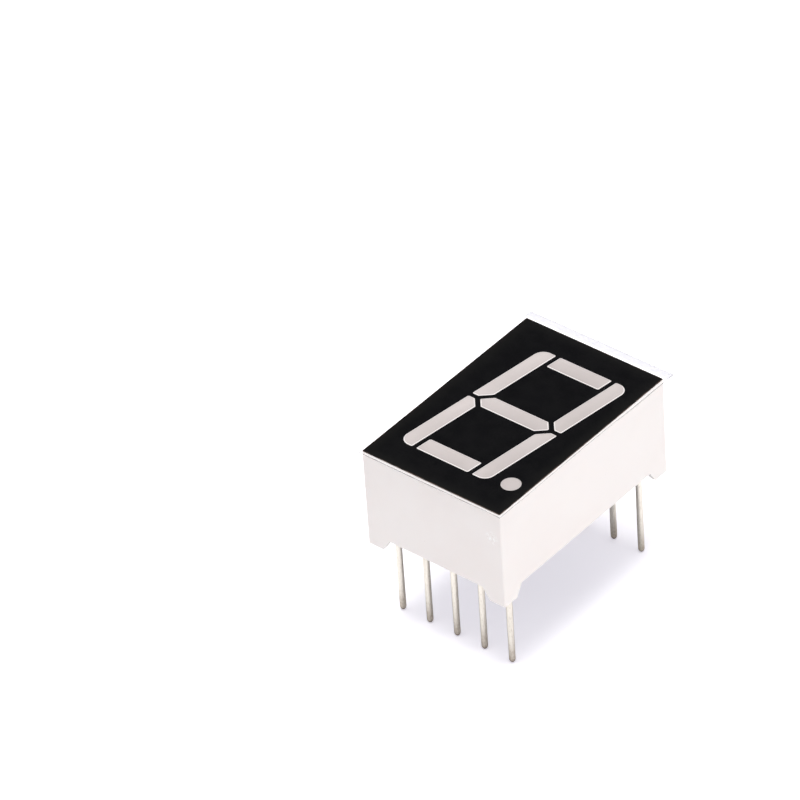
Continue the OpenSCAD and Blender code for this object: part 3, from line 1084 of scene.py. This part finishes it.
@dataclass
class Potting:
    """The clear epoxy over the back of the board, whose surface climbs the skirt and the pins."""

    corner_radius: float = 0.2
    wall_height: float = 0.45
    wall_width: float = 0.9
    collar_width: float = 0.55
    collar_height: float = 0.42
    ripple: float = 0.015
    clear_of_wall: float = 0.004
    clear_of_board: float = 0.012
    spacing: float = 0.16
    fine: float = 0.045
    arc_power: float = 2.2
    samples: int = 4001
    sharp_angle: float = 55.0

    def arc(self, away: Array, width: float, height: float) -> Array:
        """How high the epoxy climbs at a distance from what it climbs."""
        return height * np.clip(1 - away / width, 0.0, 1.0) ** self.arc_power

    def lines(self, half: float, centres: set[float], reach: float) -> Array:
        """Grid lines across the pool, closer together at its edges and at the pins.

        The wanted spacing is fine within reach of a line in centres or of an edge. The lines are
        where the running sum of one over the spacing passes whole numbers.

        Args:
            half: Half the pool's width.
            centres: Where the pins are.
            reach: How far from a pin or an edge the lines are close together.

        Returns:
            The places of the lines, from -half to half.
        """
        x = np.linspace(-half, half, self.samples)
        near = np.abs(np.subtract.outer(x, np.array([*centres, -half, half]))).min(1)
        density = 1 / np.where(near < reach, self.fine, self.spacing)
        total = np.concatenate([[0.0], np.cumsum((density[1:] + density[:-1]) / 2 * np.diff(x))])
        count = int(round(total[-1]))
        return np.interp(np.linspace(0.0, total[-1], count + 1), total, x)

    def rounded(self, x: Array, y: Array, half: Array) -> tuple:
        """Moves the points near the four corners of a rectangle onto rounded corners.

        In the corner's own square, (u, v) goes to (u sqrt(1 - v v / 2), v sqrt(1 - u u / 2)).

        Args:
            x: Places across.
            y: Places along.
            half: Half the width and half the length.

        Returns:
            The moved places.
        """
        r = self.corner_radius
        u = np.clip((np.abs(x) - half[0] + r) / r, 0.0, 1.0)
        v = np.clip((np.abs(y) - half[1] + r) / r, 0.0, 1.0)
        x = x - np.sign(x) * r * u * (1 - np.sqrt(1 - v * v / 2))
        y = y - np.sign(y) * r * v * (1 - np.sqrt(1 - u * u / 2))
        return x, y

    def build(self) -> Pieces:
        """Makes the pool as a closed solid.

        The surface lies at its level less the climb. The climb is the square root of the summed
        squares of a hollow arc at the wall and one round each pin, limited to the highest, plus two
        slow sines. An arc of width w climbs h times (1 - d / w) ** arc_power at the distance d.
        """
        low, high = box_of("rear_potting")
        level = low[2] + self.wall_height
        board_rear = box_of("circuit_board")[0][2]
        axes = [Pins.axis_of(number) for number in PINS]
        half = high[:2] - self.clear_of_wall
        reach = self.collar_width + axes[0][1]
        x, y = np.meshgrid(
            *(self.lines(half[k], {round(a[0][k], 3) for a in axes}, reach) for k in (0, 1))
        )
        x, y = self.rounded(x, y, half)
        to_wall = np.minimum(half[0] - np.abs(x), half[1] - np.abs(y))
        wall = self.arc(to_wall, self.wall_width, self.wall_height)
        collars = np.zeros_like(x)
        for (cx, cy), radius in axes:
            away = np.maximum(np.hypot(x - cx, y - cy) - radius, 0.0)
            collar = self.arc(away, self.collar_width, self.collar_height)
            collars = np.maximum(collars, collar)
        climb = np.minimum(np.hypot(wall, collars), self.wall_height)
        calm = np.clip(to_wall / self.wall_width, 0.0, 1.0)
        wave = self.ripple * calm * (np.sin(0.9 * x + 0.5 * y) + np.sin(1.7 * y - 0.8 * x + 1.0))
        top = np.dstack([x, y, level - climb + wave])
        base = np.dstack([x, y, np.full_like(x, board_rear - self.clear_of_board)])
        mesh, _ = closed_sheet("potting_pool", base, top, self.sharp_angle)
        return [add_piece("potting_pool", mesh, ClearPotting(), ["rear_potting"])]


# ---- studio


@dataclass(frozen=True)
class Lamp:
    """A square soft lamp."""

    name: str
    azimuth: float
    elevation: float
    distance: float
    side: float
    power: float
    tint: Colour = (1.0, 1.0, 1.0)


@dataclass
class Studio:
    """A pale floor, a white surround, soft lamps and the camera."""

    floor_side: float = 3000.0
    floor_colour: Colour = (0.90, 0.90, 0.915)
    floor_lift: float = 0.43
    floor_glow: Colour = (1.0, 0.965, 1.08)
    surround: Colour = (0.985, 0.985, 1.0)
    surround_level: float = 0.52
    white: Colour = (1.0, 1.0, 1.0)
    azimuth: float = 41.727
    elevation: float = 38.232
    distance: float = 474.364
    aim: tuple[float, float] = (-7.735, -3.388)
    roll: float = 4.083
    lens: float = 296.477
    sensor: float = 36.0
    clip: tuple[float, float] = (0.01, 10.0)
    lamps: tuple[Lamp, ...] = (
        Lamp("top", -40.0, 86.0, 700.0, 360.0, 4.4, (1.0, 0.99, 0.98)),
        Lamp("right", 100.0, 6.0, 800.0, 520.0, 2.05, (1.0, 0.98, 0.945)),
        Lamp("front", -10.0, 6.0, 800.0, 500.0, 0.10, (1.0, 0.985, 0.985)),
    )

    @staticmethod
    def direction(azimuth: float, elevation: float) -> Vector:
        """The direction towards a place: azimuth 0 is towards -Y, and 90 towards +X."""
        a, e = math.radians(azimuth), math.radians(elevation)
        return Vector((math.sin(a) * math.cos(e), -math.cos(a) * math.cos(e), math.sin(e)))

    def seen(self, graph: Graph) -> Signal:
        """1 for rays that show the surround itself: from the camera, mirrored or passed through."""
        rays = [
            graph.node("LightPath", output=kind)
            for kind in ("Is Camera Ray", "Is Glossy Ray", "Is Transmission Ray")
        ]
        return rays[0].at_least(rays[1]).at_least(rays[2])

    def world(self) -> None:
        """A dim bluish surround for the light, which is white where it is seen."""
        world = bpy.data.worlds.new("surround")
        world.use_nodes = True
        bpy.context.scene.world = world
        graph = Graph(world.node_tree)
        dim, white = (
            graph.node("Background", {"Color": (*colour, 1.0), "Strength": level})
            for colour, level in ((self.surround, self.surround_level), (self.white, 1.0))
        )
        both = graph.node("MixShader", {0: self.seen(graph), 1: dim, 2: white})
        graph.node("OutputWorld", {"Surface": both})

    def floor(self) -> bpy.types.Object:
        """A large pale sheet under the pins, which is clear from below."""
        half = self.floor_side / 2
        z = box_of("pin_1")[0][2]
        corners = np.array([[-half, -half, z], [half, -half, z], [half, half, z], [-half, half, z]])
        mesh = mesh_of("floor", corners, [(0, 1, 2, 3)])
        material = bpy.data.materials.new("floor_paper")
        material.use_nodes = True
        graph = Graph(material.node_tree)
        paper = graph.node(
            "BsdfDiffuse", {"Color": (*self.floor_colour, 1.0), "Roughness": 0.0}
        )
        camera = graph.node("LightPath", output="Is Camera Ray")
        glow = {"Color": (*self.floor_glow, 1.0), "Strength": camera * self.floor_lift}
        lift = graph.node("Emission", glow)
        lit = graph.node("AddShader", {0: paper, 1: lift})
        below = graph.node("NewGeometry", output="Backfacing")
        clear = graph.node("BsdfTransparent")
        graph.surface(graph.node("MixShader", {0: below, 1: lit, 2: clear}))
        mesh.materials.append(material)
        floor = put("floor", mesh)
        return floor

    def light(self) -> None:
        """Hangs the lamps round the part, each turned to its middle."""
        middle = sum((Vector(corner) for corner in CAD_BOX), Vector()) / 2
        for lamp in self.lamps:
            data = bpy.data.lights.new(lamp.name, "AREA")
            data.shape = "SQUARE"
            data.size = lamp.side * MM
            data.energy = lamp.power
            data.color = lamp.tint
            holder = put(lamp.name, data)
            away = self.direction(lamp.azimuth, lamp.elevation)
            holder.location = middle + away * lamp.distance * MM
            holder.rotation_euler = away.to_track_quat("Z", "Y").to_euler()

    def camera(self) -> bpy.types.Object:
        """Sets the camera up: it looks at a point beside the face's middle, slightly rolled."""
        data = bpy.data.cameras.new("camera")
        data.lens = self.lens
        data.sensor_width = self.sensor
        data.clip_start, data.clip_end = self.clip
        holder = put("camera", data)
        back = self.direction(self.azimuth, self.elevation)
        right = Vector((0.0, 0.0, 1.0)).cross(back).normalized()
        up = back.cross(right)
        cos, sin = math.cos(math.radians(self.roll)), math.sin(math.radians(self.roll))
        axes = (right * cos - up * sin, up * cos + right * sin, back)
        face = box_of("face_mask")[1][2]
        target = Vector((*self.aim, face)) * MM
        holder.matrix_world = (
            Matrix.Translation(target + back * self.distance * MM)
            @ Matrix(axes).transposed().to_4x4()
        )
        bpy.context.scene.camera = holder
        return holder

    def build(self) -> Pieces:
        """Makes the surround, the floor, the lamps and the camera."""
        bpy.context.scene.view_settings.view_transform = "Standard"
        self.world()
        self.light()
        return [self.floor(), self.camera()]


def main() -> None:
    """Builds the sub-assemblies in order and reports each."""
    logging.basicConfig(level=logging.INFO, format="%(name)s: %(message)s")
    for assembly in (Housing(), Face(), Board(), Pins(), Potting(), Studio()):
        made = assembly.build()
        LOG.info("%s: %d objects", type(assembly).__name__, len(made))


if __name__ == "__main__":
    main()
